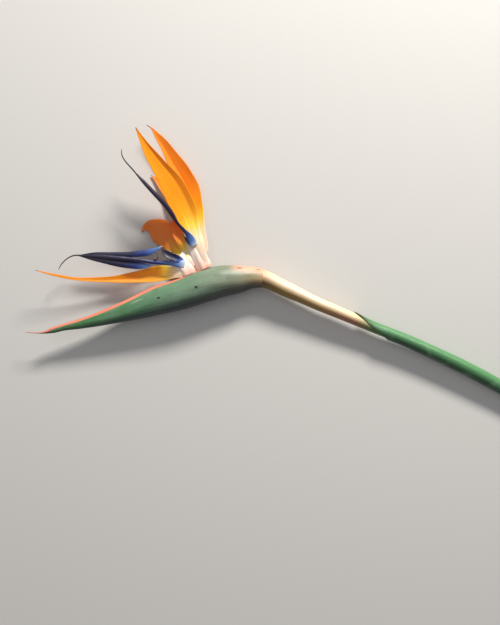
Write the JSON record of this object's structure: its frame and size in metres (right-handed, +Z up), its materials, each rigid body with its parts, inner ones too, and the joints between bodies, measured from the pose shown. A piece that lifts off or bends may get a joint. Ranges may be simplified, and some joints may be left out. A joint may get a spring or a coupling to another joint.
{
  "type": "bird of paradise flower",
  "caption": "Cut bird of paradise flower lying on its side: a bent green stem, a long beak-shaped spathe, orange sepals and blue tongues standing out of it.",
  "frame": {"origin": "middle of the bounding box at its lowest level, on the surface that the flower lies on", "axes": "+X from the tip of the spathe towards the cut end of the stem, +Y to the side that the florets stand out of, +Z up from the surface"},
  "size_m": [0.4132, 0.2314, 0.0378],
  "materials": {
    "stem_skin": "satin",
    "sheath_green": "satin",
    "spathe_skin": "satin",
    "floret_white": "satin",
    "sepal_orange": "satin",
    "tongue_indigo": "satin",
    "dry_thread": "matte"
  },
  "bodies": {
    "root": {"scape": "stem_skin", "sheath_bract": "sheath_green", "spathe": "spathe_skin", "upper_floret_base": "floret_white", "upper_sepal_left": "sepal_orange", "upper_sepal_right": "sepal_orange", "upper_sepal_back": "sepal_orange", "upper_tongue": "tongue_indigo", "upper_nectar_petal": "tongue_indigo", "upper_style": "dry_thread", "lower_floret_base": "floret_white", "lower_sepal_arched": "sepal_orange", "lower_sepal_inner": "sepal_orange", "lower_sepal_long": "sepal_orange", "lower_tongue": "tongue_indigo", "lower_nectar_petal": "tongue_indigo", "lower_style": "dry_thread", "lower_filament": "dry_thread"}
  },
  "joints": []
}
